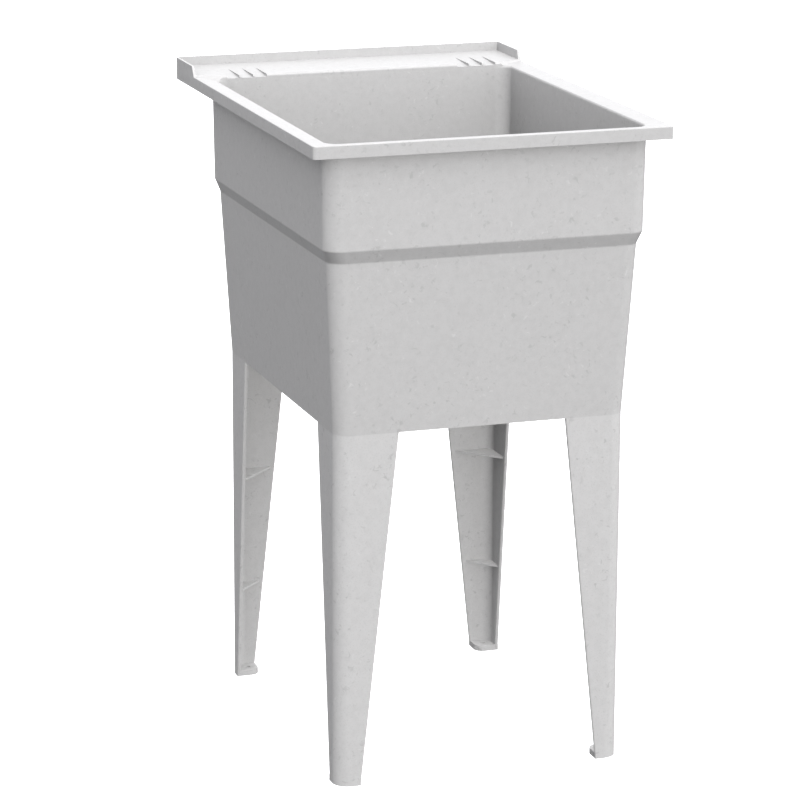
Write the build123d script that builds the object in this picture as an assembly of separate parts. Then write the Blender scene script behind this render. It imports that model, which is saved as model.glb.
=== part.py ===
"""Utility laundry sink: a moulded tub with a back deck, on four plug-in legs, with its drain.

Millimetres. +X is the right-hand side, +Y the back (wall) side and +Z up. The origin is on the
floor, under the middle of the rim.
"""

import os

from build123d import *

# Overall size
overall_width = 476.0
overall_depth = 648.0
overall_height = 864.0

# Rim, deck and the upstand along the wall
upstand_rise = 15.0  # top of the upstand above the rim
upstand_thickness = 3.0
upstand_return = 85.0  # full-height length of each side return, from the back edge
upstand_ramp = 10.0  # run of the sloped front end of each return
rim_skirt = 15.0
rim_plate = 3.5
rim_corner_radius = 5.0
rim_edge_radius = 2.5
bowl_edge_radius = 5.0
deck_rise = 3.0  # the deck stands this much above the side rims
deck_front_ease = 1.2

# Tub walls: heights are taken down from the rim, insets in from the rim's outer edge
wall = 3.5
collar_depth = 137.5
step_height = 16.5
foot_skirt = 39.0  # the walls run on this far below the bowl's floor
collar_inset = 22.5
collar_draft = 1.5
step_inset = 6.0
lower_draft = 12.0
front_advance = 2.0  # the front wall stands this much nearer to the rim's edge
deck_setback = 66.5  # the back wall stands this much further from the rim's edge
body_corner_radius = 21.0
step_round = 4.0

# Bowl
bowl_depth = 340.0
bowl_back_gap = 15.5  # hollow and inner skin between the bowl and the tub's back wall
bowl_floor_radius = 16.0
bowl_land = 2.0  # the walls are upright this far beyond the roundings at the bowl's foot and mouth
floor_fall = 6.0
floor_margin = 45.0  # flat border round the falls
sump_radius = 42.0
back_rib_count = 2
back_rib = 3.0

# Soap dishes in the deck
dish_groove_count = 3
dish_groove_width = 17.2
dish_rib_width = 2.4
dish_length = 58.0
dish_depth = 3.2
dish_edge_margin = 18.0  # from the bowl's side wall to the dish

# Stiffening ribs under the rim and under the bowl's floor
deck_rib_count = 3
deck_rib = 2.5
rim_rib_pitch = 170.0
rim_rib_lift = 4.0  # the ribs under the rim end this far above the skirt's lower edge
floor_rib = 3.0
floor_rib_depth = 16.0
drain_boss_wall = 4.0

# Legs
leg_wall = 5.0
leg_edge_radius = 2.2
leg_flange_top = 83.5
leg_flange_foot = 33.0
leg_gusset = 3.0
leg_gusset_heights = (129.0, 295.0)
leg_gusset_edge = 4.0  # gussets stop this far short of the flanges' free edges
sole_thickness = 8.0
sole_inner_radius = 12.6
anchor_hole_radius = 4.0
anchor_inset = 19.0

# Plug-in joint between leg and tub
plug_clearance = 0.3
plug_height = 28.0
plug_thickness = 3.2
plug_root = 24.0
plug_setback = 6.0  # the plug stops this far short of the leg's flange edges
socket_rib = 2.8
catch_width = 14.0
catch_height = 6.0
catch_reach = 1.4
catch_drop = 17.0  # from the plug's top to the middle of the catch
catch_offset = 48.0  # from the tub's corner to the catch
catch_window_margin = 1.0

# Drain: 1 1/2 in outlet
drain_shank_radius = 23.8
drain_bore_radius = 21.5
drain_flange_radius = 37.0
drain_flange = 2.4
drain_shank_length = 44.0
drain_bar_drop = 14.0  # from the sump's floor to the top of the crossbars
drain_bar = 3.0
drain_bar_depth = 4.0
drain_bar_count = 2
drain_bar_turn = 45.0
drain_hole_clearance = 0.8
gasket_thickness = 3.0
gasket_radius = 34.0
washer_thickness = 1.5
washer_radius = 33.0
locknut_radius = 33.0
locknut_height = 10.0
locknut_flat_count = 6
thread_clearance = 0.05
tail_radius = 19.05
tail_wall = 1.2
tail_length = 41.0
tail_flange_radius = 22.8
tail_flange = 2.0
tail_shoulder = 0.6  # the tube's first length under the flange is this much thicker
tail_shoulder_drop = 1.0  # and ends this far below the coupling nut
coupling_radius = 28.5
coupling_height = 21.0
coupling_lip = 3.0
coupling_flat_count = 10

# Stopper
stopper_clearance = 0.3
stopper_plug = 11.0
stopper_cap_radius = 25.0
stopper_cap = 3.0
stopper_grip_radius = 8.5
stopper_grip_width = 6.0
stopper_grip_hole_radius = 4.2

# Heights that follow
rim_top = overall_height - upstand_rise
rim_bottom = rim_top - rim_skirt
deck_top = rim_top + deck_rise
collar_bottom = rim_top - collar_depth
step_bottom = collar_bottom - step_height
floor_top = rim_top - bowl_depth
tub_bottom = floor_top - foot_skirt
sump_top = floor_top - floor_fall
floor_under = floor_top - wall
drain_flange_seat = sump_top - drain_flange
drain_boss_under = drain_flange_seat - wall
drain_shank_end = drain_flange_seat - drain_shank_length
drain_boss_radius = drain_flange_radius + drain_hole_clearance + drain_boss_wall

# Insets that follow, by height
wall_profile = (
    (tub_bottom, collar_inset + collar_draft + step_inset + lower_draft),
    (step_bottom, collar_inset + collar_draft + step_inset),
    (collar_bottom, collar_inset + collar_draft),
    (rim_bottom, collar_inset),
)


def wall_inset(z):
    """Inset of the tub's side walls from the rim's edge at height z."""
    spans = list(zip(wall_profile, wall_profile[1:]))
    low, high = next((s for s in spans if z <= s[1][0]), spans[-1])
    return low[1] + (high[1] - low[1]) * (z - low[0]) / (high[0] - low[0])


def wall_edges(z, offset=0.0, back_offset=None):
    """Left, right, front and back of the tub's section at height z, moved inwards by offset."""
    side = overall_width / 2 - wall_inset(z) - offset
    front = -overall_depth / 2 + wall_inset(z) - front_advance + offset
    back = overall_depth / 2 - wall_inset(z) - deck_setback
    back -= offset if back_offset is None else back_offset
    return -side, side, front, back


def wall_section(z, offset=0.0, back_offset=None):
    """The tub's rounded rectangular section at height z."""
    left, right, front, back = wall_edges(z, offset, back_offset)
    radius = max(body_corner_radius - offset, rim_corner_radius)
    outline = RectangleRounded(right - left, back - front, radius)
    return Pos((left + right) / 2, (front + back) / 2, z) * outline


def flat_sided(low, high):
    """Solid between two like outlines: flat sides between their lines, ruled ones between their arcs."""
    sides = [low.face(), high.face()]
    for below, above in zip(low.edges(), high.edges()):
        if below.geom_type == GeomType.LINE:
            sides.append(make_face(Polyline(below @ 0, below @ 1, above @ 1, above @ 0, close=True)).face())
        else:
            sides.append(Face.make_surface_from_curves(below, above))
    return Solid(Shell(sides))


def wall_block(z_low, z_high, offset=0.0, back_offset=None):
    """Solid that follows the tub's walls from z_low to z_high."""
    heights = [z_low] + [z for z, _ in wall_profile if z_low < z < z_high] + [z_high]
    block = Part()
    for low, high in zip(heights, heights[1:]):
        block += flat_sided(wall_section(low, offset, back_offset), wall_section(high, offset, back_offset))
    return block


def upright(section_z, z_low, z_high, offset=0.0, back_offset=None):
    """Solid with upright walls and the outline that the tub's walls have at section_z."""
    outline = wall_section(section_z, offset, back_offset)
    return Pos(0, 0, z_low - section_z) * extrude(outline, z_high - z_low)


touch = 0.01  # two heights nearer than this are the same height


def box_between(x0, x1, y0, y1, z0, z1):
    """Box between two corners."""
    size = (x1 - x0, y1 - y0, z1 - z0)
    return Pos(x0, y0, z0) * Box(*size, align=(Align.MIN, Align.MIN, Align.MIN))


def disc(radius, z_low, height, hole=0.0):
    """Round disc or ring on the drain's axis."""
    ring = Circle(radius) if not hole else Circle(radius) - Circle(hole)
    return Pos(0, drain_y, z_low) * extrude(ring, height)


# The bowl's back wall and the drain's place follow from the walls
bowl_back_offset = wall + bowl_back_gap
_, _, bowl_floor_front, bowl_floor_back = wall_edges(floor_top, wall, bowl_back_offset)
drain_y = (bowl_floor_front + bowl_floor_back) / 2
_, bowl_rim_right, _, bowl_rim_back = wall_edges(rim_top, wall, bowl_back_offset)


def rim_outline(inset=0.0):
    """The rim's outer outline, moved inwards by inset."""
    radius = max(rim_corner_radius - inset, 1.0)
    return RectangleRounded(overall_width - 2 * inset, overall_depth - 2 * inset, radius)


def rim_tray():
    """The rim and deck as one plate with a skirt all round, open underneath."""
    plate = Pos(0, 0, rim_bottom) * extrude(rim_outline(), rim_skirt)
    plate = fillet(plate.faces().sort_by(Axis.Z)[-1].edges(), rim_edge_radius)
    hollow = Pos(0, 0, rim_bottom) * extrude(rim_outline(wall), rim_skirt - rim_plate)
    return plate - hollow


def deck_outline():
    """Outline of the raised deck; it runs on past the bowl's back edge."""
    foot = overall_depth / 2 - upstand_return - upstand_ramp
    side = overall_width / 2 - upstand_thickness / 2
    back = overall_depth / 2 - upstand_thickness / 2
    corner = bowl_rim_right - body_corner_radius / 2
    front = bowl_rim_back - deck_rise
    points = [(side, back), (side, foot), (corner, front), (-corner, front), (-side, foot), (-side, back)]
    return make_face(Polyline(*points, close=True))


def deck_pad():
    """The raised deck between the bowl and the wall side."""
    pad = Pos(0, 0, rim_top - rim_plate / 2) * extrude(deck_outline(), rim_plate / 2 + deck_rise)
    top_edges = pad.faces().sort_by(Axis.Z)[-1].edges()
    slanting = [e for e in top_edges if abs((e @ 1 - e @ 0).X) > touch < abs((e @ 1 - e @ 0).Y)]
    return fillet(slanting, deck_front_ease)


def upstand():
    """Thin wall along the back edge with a return down each side."""
    outer = Pos(0, 0, rim_bottom) * extrude(rim_outline(), rim_skirt + upstand_rise)
    inner = Pos(0, 0, rim_bottom) * extrude(rim_outline(upstand_thickness), rim_skirt + upstand_rise)
    back = overall_depth / 2
    ramp_top = (back - upstand_return, overall_height)
    ramp_foot = (back - upstand_return - upstand_ramp, rim_top)
    side = [(back, rim_top - rim_plate), (back, overall_height), ramp_top, ramp_foot]
    side += [(back - upstand_return - upstand_ramp, rim_top - rim_plate)]
    profile = Plane.YZ * make_face(Polyline(*side, close=True))
    return (outer - inner) & extrude(profile, overall_width / 2, both=True)


def deck_ribs():
    """Ribs from the tub's back wall to the skirt, under the deck, and short ones round the rim."""
    z_low = rim_bottom + rim_rib_lift
    z_top = rim_top - rim_plate
    _, _, front, back = wall_edges(rim_bottom)
    half_x = overall_width / 2 - wall
    half_y = overall_depth / 2 - wall
    ribs = Part()
    pitch = 2 * half_x / (deck_rib_count + 1)
    for index in range(deck_rib_count):
        x = -half_x + pitch * (index + 1)
        ribs += box_between(x - deck_rib / 2, x + deck_rib / 2, -half_y, half_y, z_low, z_top)
    side_count = int((back - front) / rim_rib_pitch)
    for index in range(side_count):
        y = front + rim_rib_pitch * (index + 0.5)
        ribs += box_between(-half_x, half_x, y - deck_rib / 2, y + deck_rib / 2, z_low, z_top)
    return ribs


foot_land = floor_top + bowl_floor_radius + bowl_land
mouth_land = rim_top - bowl_edge_radius - bowl_land


def bowl_cavity():
    """The space inside the bowl, with rounded foot edges."""
    foot = upright(foot_land, floor_top, foot_land, wall, bowl_back_offset)
    foot = fillet(foot.faces().sort_by(Axis.Z)[0].edges(), bowl_floor_radius)
    walls = wall_block(foot_land, mouth_land, wall, bowl_back_offset)
    return foot + walls + bowl_mouth(mouth_land, overall_height)


def bowl_mouth(z_low, z_high, grow=0.0):
    """Upright block with the outline of the bowl's mouth, widened all round by grow."""
    return upright(mouth_land, z_low, z_high, wall - grow, bowl_back_offset - grow)


def bowl_edge(z_top):
    """Block that leaves the bowl's upper edge rounded at height z_top."""
    z_low, grow = z_top - bowl_edge_radius - bowl_land, 2 * bowl_edge_radius
    ledge = bowl_mouth(z_low, z_top, grow) - bowl_mouth(z_low, z_top)
    mouth = ledge.faces().sort_by(Axis.Z)[-1].inner_wires()[0]
    return bowl_mouth(z_low, z_top, grow) - fillet(mouth.edges(), bowl_edge_radius)


def bowl_rounding():
    """The rounding of the bowl's edge: lower along the rim, higher along the deck."""
    deck_zone = Pos(0, 0, floor_top) * extrude(deck_outline(), bowl_depth + upstand_rise)
    return (bowl_edge(rim_top) - deck_zone) + (bowl_edge(deck_top) & deck_zone)


def floor_falls(drop=0.0):
    """The shallow slopes from the bowl's floor down to the sump."""
    left, right, front, back = wall_edges(floor_top, wall + floor_margin, bowl_back_offset + floor_margin)
    upper = Pos(0, drain_y, floor_top - drop) * Rectangle(right - left, back - front)
    lower = Pos(0, drain_y, sump_top - drop) * Rectangle(2 * sump_radius, 2 * sump_radius)
    return flat_sided(lower, upper)


def underside_space():
    """The space inside the tub's foot, below the bowl's floor."""
    space = wall_block(tub_bottom, floor_under, wall)
    space -= floor_falls(drop=wall)
    space -= disc(drain_boss_radius, drain_boss_under, floor_top - drain_boss_under)
    low, half = floor_under - floor_rib_depth, floor_rib / 2
    ribs = box_between(-overall_width, overall_width, drain_y - half, drain_y + half, low, floor_top)
    ribs += box_between(-half, half, -overall_depth, overall_depth, low, floor_top)
    clear = disc(drain_boss_radius, tub_bottom, floor_top - tub_bottom)
    return space - (ribs - clear)


def back_hollow():
    """The hollow between the bowl's back wall and the tub's back wall."""
    z_top = rim_top - rim_plate
    hollow = wall_block(floor_under - wall, z_top, wall)
    hollow -= wall_block(floor_under - 2 * wall, z_top + wall, -wall, bowl_back_offset - wall)
    half = overall_width / 2 - collar_inset
    for index in range(back_rib_count):
        x = -half + 2 * half * (index + 1) / (back_rib_count + 1)
        hollow -= box_between(x - back_rib / 2, x + back_rib / 2, 0, overall_depth, 0, overall_height)
    return hollow


def soap_dish(x_left):
    """Grooves that fall towards the bowl, from x_left to the right."""
    back = bowl_rim_back + dish_length
    front = bowl_rim_back - bowl_edge_radius
    slope = [(back, deck_top), (front, deck_top - dish_depth), (front, deck_top + deck_rise), (back, deck_top + deck_rise)]
    profile = Plane.YZ * make_face(Polyline(*slope, close=True))
    dish = Part()
    for index in range(dish_groove_count):
        x = x_left + index * (dish_groove_width + dish_rib_width)
        dish += Pos(x, 0, 0) * extrude(profile, dish_groove_width)
    return dish


def corner_frames():
    """Sign pairs of the tub's four corners."""
    return [(sx, sy) for sx in (-1, 1) for sy in (-1, 1)]


def corner_clip(sx, sy, length, z_low, z_high):
    """Square column of the given side length at one bottom corner of the tub."""
    left, right, front, back = wall_edges(tub_bottom)
    x = right if sx > 0 else left
    y = back if sy > 0 else front
    reach = lower_draft * 2
    xs = sorted((x + sx * reach, x - sx * length))
    ys = sorted((y + sy * reach, y - sy * length))
    return box_between(*xs, *ys, z_low, z_high)


def foot_ring(z_low, z_high, outer_offset, inner_offset):
    """Upright ring between two offsets inwards from the tub's lower edge."""
    return upright(tub_bottom, z_low, z_high, outer_offset) - upright(tub_bottom, z_low, z_high, inner_offset)


plug_outer = wall + plug_clearance
plug_inner = plug_outer + plug_thickness
socket_outer = plug_inner + plug_clearance
socket_inner = socket_outer + socket_rib
plug_length = leg_flange_top - plug_setback
catch_z = tub_bottom + plug_height - catch_drop


def catch_box(sx, sy, axis, reach_in, reach_out, margin):
    """Box at a leg's catch: between two offsets, wider by margin all round."""
    _, right, front, back = wall_edges(tub_bottom)
    x = right if sx > 0 else -right
    y = back if sy > 0 else front
    half = catch_width / 2 + margin
    along = {0: y - sy * catch_offset, 1: x - sx * catch_offset}[axis]
    base = {0: x, 1: y}[axis]
    sign = {0: sx, 1: sy}[axis]
    across = sorted((base - sign * reach_in, base - sign * reach_out))
    span = (along - half, along + half)
    z_span = (catch_z - catch_height / 2 - margin, catch_z + catch_height / 2 + margin)
    if axis == 0:
        return box_between(*across, *span, *z_span)
    return box_between(*span, *across, *z_span)


def leg_sockets():
    """Inner walls of the four L-shaped sockets, with their end walls and catch windows."""
    z_top = floor_under + wall / 2
    ring = foot_ring(tub_bottom, z_top, socket_outer, socket_inner)
    web = wall_block(tub_bottom, z_top, wall / 2) - upright(tub_bottom, tub_bottom, z_top, socket_inner)
    sockets = Part()
    for sx, sy in corner_frames():
        reach = plug_length + plug_clearance
        walls = ring & corner_clip(sx, sy, reach + socket_rib, tub_bottom, floor_top)
        ends = web & corner_clip(sx, sy, reach + socket_rib, tub_bottom, floor_top)
        ends -= corner_clip(sx, sy, reach, tub_bottom, floor_top)
        socket = walls + ends
        for axis in (0, 1):
            reach_in, reach_out = socket_outer - plug_clearance, socket_inner + wall
            socket -= catch_box(sx, sy, axis, reach_in, reach_out, catch_window_margin)
        sockets += socket
    return sockets


def step_edges(solid):
    """The level outer edges of the step round the tub."""
    level = [e for e in solid.edges() if e.bounding_box().size.Z < touch]
    return [e for e in level for z in (collar_bottom, step_bottom) if abs(e.center().Z - z) < touch]


def tub():
    """The moulded tub."""
    body = wall_block(tub_bottom, rim_top - rim_plate / 2)
    body = fillet(step_edges(body), step_round)
    shell = body + rim_tray() + deck_ribs() + deck_pad() + upstand()
    shell -= bowl_cavity() + floor_falls()
    shell -= bowl_rounding()
    shell -= back_hollow()
    shell -= underside_space()
    shell += leg_sockets()
    for radius, low in ((drain_flange_radius, drain_flange_seat), (drain_shank_radius, drain_shank_end)):
        shell -= disc(radius + drain_hole_clearance, low, floor_top - low)
    for side in (-1, 1):
        width = dish_groove_count * dish_groove_width + (dish_groove_count - 1) * dish_rib_width
        outer = bowl_rim_right - dish_edge_margin
        x_left = outer - width if side > 0 else -outer
        shell -= soap_dish(x_left)
    return shell


def flange_outline(width, thickness, radius):
    """L-shaped section with its outer corner at the origin and its flanges along +X and +Y."""
    outer = Pos(width / 2, width / 2) * RectangleRounded(width, width, radius)
    outer = outer + Pos(width, width / 2) * Rectangle(width, width)
    outer = outer + Pos(width / 2, width) * Rectangle(width, width)
    outer = outer & Pos(width / 2, width / 2) * Rectangle(width, width)
    hollow = RectangleRounded(2 * width, 2 * width, radius - thickness)
    return outer - Pos(thickness + width, thickness + width) * hollow


def leg_taper():
    """Prism whose section narrows from the flange's width at the tub to that at the foot."""
    top, foot = leg_flange_top, leg_flange_foot
    lower = Pos(foot / 2, foot / 2, 0) * Rectangle(foot, foot)
    upper = Pos(top / 2, top / 2, tub_bottom) * Rectangle(top, top)
    return flat_sided(lower, upper)


def leg_gusset_plate(z):
    """Triangular web between the two flanges at height z."""
    width = leg_flange_foot + (leg_flange_top - leg_flange_foot) * z / tub_bottom - leg_gusset_edge
    low = leg_wall / 2
    outline = make_face(Polyline((low, low), (width, low), (low, width), close=True))
    middle = width / 2 + low
    outline &= Pos(middle, middle) * RectangleRounded(width, width, body_corner_radius - low)
    return Pos(0, 0, z - leg_gusset / 2) * extrude(outline, leg_gusset)


def leg_sole():
    """Closed plate at the foot, with a hole for a floor anchor."""
    side = leg_flange_foot
    plate = Pos(side / 2, side / 2) * Rectangle(side, side)
    plate = fillet(plate.vertices().group_by(Axis.X)[-1].sort_by(Axis.Y)[-1], sole_inner_radius)
    plate = fillet(plate.vertices().group_by(Axis.X)[0].sort_by(Axis.Y)[0], body_corner_radius)
    plate -= Pos(anchor_inset, anchor_inset) * Circle(anchor_hole_radius)
    return extrude(plate, sole_thickness)


def leg_plug(sx, sy):
    """The L-shaped plug that goes up behind the tub's wall, in the tub's place, with its catches."""
    plug = foot_ring(tub_bottom, tub_bottom + plug_height, plug_outer, plug_inner)
    plug &= corner_clip(sx, sy, plug_length, tub_bottom, tub_bottom + plug_height)
    for axis in (0, 1):
        plug += catch_box(sx, sy, axis, plug_inner - plug_thickness / 2, socket_outer + catch_reach, 0)
    return plug


def leg(sx, sy):
    """One L-section leg with gussets, sole and plug, in its place under the tub."""
    section = flange_outline(leg_flange_top, leg_wall, body_corner_radius)
    shape = extrude(section, tub_bottom) & leg_taper()
    free = shape.faces().filter_by(lambda f: abs(f.normal_at().Z) > 0.01 and abs(f.normal_at().Z) < 0.9)
    edges = [e for f in free for e in f.edges() if abs(e.length) > leg_flange_top * 2]
    shape = fillet(edges, leg_edge_radius)
    for height in leg_gusset_heights:
        shape += leg_gusset_plate(height)
    shape += leg_sole()
    root = flange_outline(plug_length, plug_inner, body_corner_radius)
    root -= flange_outline(plug_length, leg_wall / 2, body_corner_radius)
    shape += Pos(0, 0, tub_bottom - plug_root) * extrude(root, plug_root)
    _, right, front, back = wall_edges(tub_bottom)
    x = right if sx > 0 else -right
    y = back if sy > 0 else front
    turns = {(-1, -1): 0, (1, -1): 90, (1, 1): 180, (-1, 1): 270}
    placed = Pos(x, y, 0) * Rot(0, 0, turns[(sx, sy)]) * shape
    return placed + leg_plug(sx, sy)


def drain_body():
    """Flanged and threaded drain with a crossbar strainer in its bore."""
    shank = disc(drain_shank_radius, drain_shank_end, drain_shank_length, drain_bore_radius)
    flange = disc(drain_flange_radius, drain_flange_seat, drain_flange, drain_bore_radius)
    bar_top = sump_top - drain_bar_drop
    body = shank + flange
    for index in range(drain_bar_count):
        bar = Box(drain_bore_radius + drain_shank_radius, drain_bar, drain_bar_depth)
        turn = Rot(0, 0, drain_bar_turn + 180 / drain_bar_count * index)
        body += Pos(0, drain_y, bar_top - drain_bar_depth / 2) * turn * bar
    return body


# Faces of the stack under the sump, from the boss down, and under the shank's end
washer_top = drain_boss_under - gasket_thickness
locknut_top = washer_top - washer_thickness
coupling_lip_top = drain_shank_end - tail_flange


def drain_gasket():
    """Rubber gasket under the sump."""
    return disc(gasket_radius, washer_top, gasket_thickness, drain_shank_radius + thread_clearance)


def friction_washer():
    """Fibre washer between gasket and locknut."""
    return disc(washer_radius, locknut_top, washer_thickness, drain_shank_radius + thread_clearance)


def drain_locknut():
    """Locknut that draws the flange down into its recess."""
    low = locknut_top - locknut_height
    nut = Pos(0, drain_y, low) * extrude(RegularPolygon(locknut_radius, locknut_flat_count), locknut_height)
    return nut - disc(drain_shank_radius + thread_clearance, low, locknut_height)


def tailpiece():
    """Flanged outlet tube."""
    shoulder = coupling_lip + tail_shoulder_drop
    tube = disc(tail_radius, drain_shank_end - tail_length, tail_length, tail_radius - tail_wall)
    tube += disc(tail_radius + tail_shoulder, coupling_lip_top - shoulder, shoulder, tail_radius - tail_wall)
    return tube + disc(tail_flange_radius, coupling_lip_top, tail_flange, tail_radius - tail_wall)


def coupling_nut():
    """Nut that draws the tailpiece up against the shank."""
    bottom = coupling_lip_top - coupling_lip
    nut = Pos(0, drain_y, bottom) * extrude(RegularPolygon(coupling_radius, coupling_flat_count), coupling_height)
    nut -= disc(drain_shank_radius + thread_clearance, coupling_lip_top, coupling_height)
    return nut - disc(tail_radius + tail_shoulder + thread_clearance, bottom, coupling_height)


def stopper():
    """Rubber stopper: plug, cap and grip."""
    body = disc(drain_bore_radius - stopper_clearance, sump_top - stopper_plug, stopper_plug)
    body += disc(stopper_cap_radius, sump_top, stopper_cap)
    eye = Circle(stopper_grip_radius)
    eye += Pos(0, -stopper_grip_radius / 2) * Rectangle(2 * stopper_grip_radius, stopper_grip_radius)
    eye -= Circle(stopper_grip_hole_radius)
    grip = extrude(Plane.XZ * eye, stopper_grip_width / 2, both=True)
    return body + Pos(0, drain_y, sump_top + stopper_cap + stopper_grip_radius) * grip


def build():
    """Every node of the sink by name."""
    nodes = {"tub": tub()}
    names = {(-1, -1): "front_left", (1, -1): "front_right", (-1, 1): "rear_left", (1, 1): "rear_right"}
    for corner, name in names.items():
        nodes["leg_" + name] = leg(*corner)
    nodes["drain_body"] = drain_body()
    nodes["drain_gasket"] = drain_gasket()
    nodes["friction_washer"] = friction_washer()
    nodes["drain_locknut"] = drain_locknut()
    nodes["coupling_nut"] = coupling_nut()
    nodes["tailpiece"] = tailpiece()
    nodes["stopper"] = stopper()
    return nodes


os.makedirs("parts", exist_ok=True)
for name, solid in build().items():
    export_step(solid, os.path.join("parts", name + ".step"))
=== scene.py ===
"""Finished looks of a utility laundry sink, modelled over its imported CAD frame.

The sink is a deep moulded tub on four plug-in legs, with its drain below and a rubber stopper in it. Each
sub-assembly is a class that holds its sizes in millimetres and builds its meshes with edit-mode operators.
"""

import logging
import math
from dataclasses import dataclass, field, replace
from enum import Enum
from typing import Callable, Sequence

import bpy
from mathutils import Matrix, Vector


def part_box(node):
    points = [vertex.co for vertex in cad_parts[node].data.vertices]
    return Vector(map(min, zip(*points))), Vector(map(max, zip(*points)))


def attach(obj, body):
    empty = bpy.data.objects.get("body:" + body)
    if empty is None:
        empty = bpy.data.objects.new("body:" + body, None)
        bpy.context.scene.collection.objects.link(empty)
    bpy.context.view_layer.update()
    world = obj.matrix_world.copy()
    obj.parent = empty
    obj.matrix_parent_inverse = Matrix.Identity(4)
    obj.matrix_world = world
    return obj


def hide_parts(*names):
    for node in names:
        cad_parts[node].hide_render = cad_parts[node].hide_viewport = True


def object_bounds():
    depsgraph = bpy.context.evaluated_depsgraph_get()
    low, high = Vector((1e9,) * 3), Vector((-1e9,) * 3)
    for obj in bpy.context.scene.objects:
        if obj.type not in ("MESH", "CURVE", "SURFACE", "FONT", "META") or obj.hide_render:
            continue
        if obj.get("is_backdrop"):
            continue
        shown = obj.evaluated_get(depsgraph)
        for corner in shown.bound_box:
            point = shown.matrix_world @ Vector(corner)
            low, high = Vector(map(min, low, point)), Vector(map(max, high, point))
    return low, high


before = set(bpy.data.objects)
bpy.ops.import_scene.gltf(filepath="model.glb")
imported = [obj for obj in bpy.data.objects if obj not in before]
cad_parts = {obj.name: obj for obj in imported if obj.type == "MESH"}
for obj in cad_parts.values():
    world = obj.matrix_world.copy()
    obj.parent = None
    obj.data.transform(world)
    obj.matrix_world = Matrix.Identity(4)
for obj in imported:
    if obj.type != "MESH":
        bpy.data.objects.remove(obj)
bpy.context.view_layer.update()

MM = 0.001
AIR = 30.0  # how far a cutting solid runs on past the surface it cuts, in millimetres
NEAR = 0.01  # places closer than this many millimetres count as the same
MERGED = 0.005  # vertices closer than this many millimetres are merged
CORNER_STEPS = 10  # facets in a quarter turn of the large corners
BROKEN_ABOVE = math.radians(32)  # edges that turn by more are broken on a finished piece
SMOOTH_BELOW = math.radians(50)  # edges that turn by less are shaded smooth
WHOLE = (0.0, 1.0)  # all of a pattern's range

Solid = bpy.types.Object
Socket = bpy.types.NodeSocket
Span = tuple[float, float]
EdgeTest = Callable[[Vector, Vector], bool]

log = logging.getLogger("laundry_sink")


class Combine(Enum):
    """How one solid acts on another."""

    ADD = "UNION"
    CUT = "DIFFERENCE"


class Body(Enum):
    """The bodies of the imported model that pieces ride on."""

    SINK = "sink"
    STOPPER = "stopper"


# --- Places ------------------------------------------------------------------------------------------------


def around(middle: float, half: float) -> Span:
    """Lower and upper coordinate at one distance from a middle."""
    return middle - half, middle + half


def inwards(edge: float, way: int, near: float, far: float) -> Span:
    """Lower and upper coordinate between two distances from an edge, counted up (1) or down (-1)."""
    low, high = sorted((edge + way * near, edge + way * far))
    return low, high


def level_at(z: float) -> EdgeTest:
    """Test for the edges that lie level at a height."""
    return lambda a, b: abs(a.z - z) < NEAR and abs(b.z - z) < NEAR


def upright_at(place: float) -> EdgeTest:
    """Test for the upright edge whose X and Y are both at one place."""
    return lambda a, b: all(abs(p.x - place) < NEAR and abs(p.y - place) < NEAR for p in (a, b))


@dataclass(frozen=True)
class Outline:
    """A rectangle at one height, in millimetres."""

    z: float
    left: float
    right: float
    front: float
    back: float

    def at(self, z: float) -> "Outline":
        """The same rectangle at another height."""
        return replace(self, z=z)

    def grown(self, by: float) -> "Outline":
        """The rectangle with all four sides moved out."""
        return Outline(self.z, self.left - by, self.right + by, self.front - by, self.back + by)

    @property
    def xs(self) -> Span:
        """Its left and right side."""
        return self.left, self.right

    @property
    def ys(self) -> Span:
        """Its front and back."""
        return self.front, self.back

    @property
    def size(self) -> Vector:
        """Width and depth."""
        return Vector((self.right - self.left, self.back - self.front, 0))

    @property
    def middle(self) -> Vector:
        """Centre of the rectangle."""
        return Vector(((self.left + self.right) / 2, (self.front + self.back) / 2, self.z))


# --- Edit-mode tools ---------------------------------------------------------------------------------------


def make_active(piece: Solid) -> None:
    """Selects one piece alone and makes it the active one.

    Args:
        piece: The piece.
    """
    bpy.ops.object.select_all(action="DESELECT")
    piece.select_set(True)
    bpy.context.view_layer.objects.active = piece


def name_new(name: str) -> Solid:
    """Names the primitive that was just added, and its mesh.

    Args:
        name: The name.

    Returns:
        The new object.
    """
    piece = bpy.context.object
    piece.name = piece.data.name = name
    return piece


def tidy_mesh(piece: Solid) -> None:
    """Merges doubled vertices and turns every face outwards.

    Args:
        piece: The piece to work on.
    """
    make_active(piece)
    bpy.ops.object.mode_set(mode="EDIT")
    bpy.ops.mesh.select_all(action="SELECT")
    bpy.ops.mesh.remove_doubles(threshold=MERGED * MM)
    bpy.ops.mesh.normals_make_consistent(inside=False)
    bpy.ops.object.mode_set(mode="OBJECT")


def apply_modifier(piece: Solid, kind: str, settings: dict[str, object]) -> None:
    """Puts one modifier on a piece, with its settings by name, and applies it.

    Args:
        piece: The piece.
        kind: The modifier's type.
        settings: Its settings, by name.
    """
    make_active(piece)
    modifier = piece.modifiers.new(kind.lower(), kind)
    for key, value in settings.items():
        setattr(modifier, key, value)
    bpy.ops.object.modifier_apply(modifier=modifier.name)


def combine(piece: Solid, tool: Solid, how: Combine) -> None:
    """Adds one solid to another or cuts it out, and removes it."""
    apply_modifier(piece, "BOOLEAN", {"operation": how.value, "solver": "EXACT", "object": tool})
    bpy.data.objects.remove(tool, do_unlink=True)


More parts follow.
